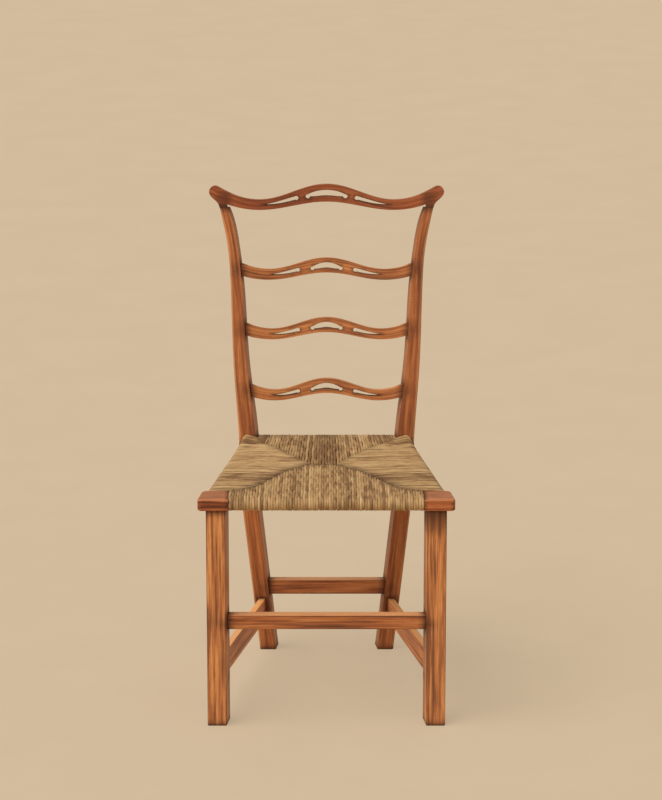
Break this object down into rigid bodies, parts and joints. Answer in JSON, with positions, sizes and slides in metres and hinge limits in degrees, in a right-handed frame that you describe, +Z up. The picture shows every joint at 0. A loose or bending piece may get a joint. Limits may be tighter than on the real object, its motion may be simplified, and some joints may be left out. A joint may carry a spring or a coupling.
{
  "type": "side chair",
  "caption": "Wooden side chair with a pierced serpentine ladder back, square legs joined by stretchers, and a woven rush seat with corner blocks.",
  "frame": {"origin": "on the floor, under the middle of the chair's bounding box", "axes": "+Z up, -Y towards the front of the seat, +X to the right of someone facing the chair"},
  "size_m": [0.4772, 0.481, 0.9481],
  "materials": {
    "frame_wood": "waxed satin",
    "seat_rail_wood": "sawn matt",
    "peg_wood": "waxed satin",
    "rush": "twisted dry rush",
    "rush_packing": "loose dry rush"
  },
  "bodies": {
    "root": {"corner_block_left": "frame_wood", "corner_block_right": "frame_wood", "crest_pegs": "peg_wood", "crest_rail": "frame_wood", "front_leg_left": "frame_wood", "front_leg_right": "frame_wood", "rear_post_left": "frame_wood", "rear_post_right": "frame_wood", "rush_front": "rush", "rush_left": "rush", "rush_packing_front": "rush_packing", "rush_packing_left": "rush_packing", "rush_packing_rear": "rush_packing", "rush_packing_right": "rush_packing", "rush_rear": "rush", "rush_right": "rush", "seat_rail_front": "seat_rail_wood", "seat_rail_left": "seat_rail_wood", "seat_rail_rear": "seat_rail_wood", "seat_rail_right": "seat_rail_wood", "slat_lower": "frame_wood", "slat_middle": "frame_wood", "slat_pegs": "peg_wood", "slat_upper": "frame_wood", "stretcher_front": "frame_wood", "stretcher_left": "frame_wood", "stretcher_pegs": "peg_wood", "stretcher_rear": "frame_wood", "stretcher_right": "frame_wood"}
  },
  "joints": []
}
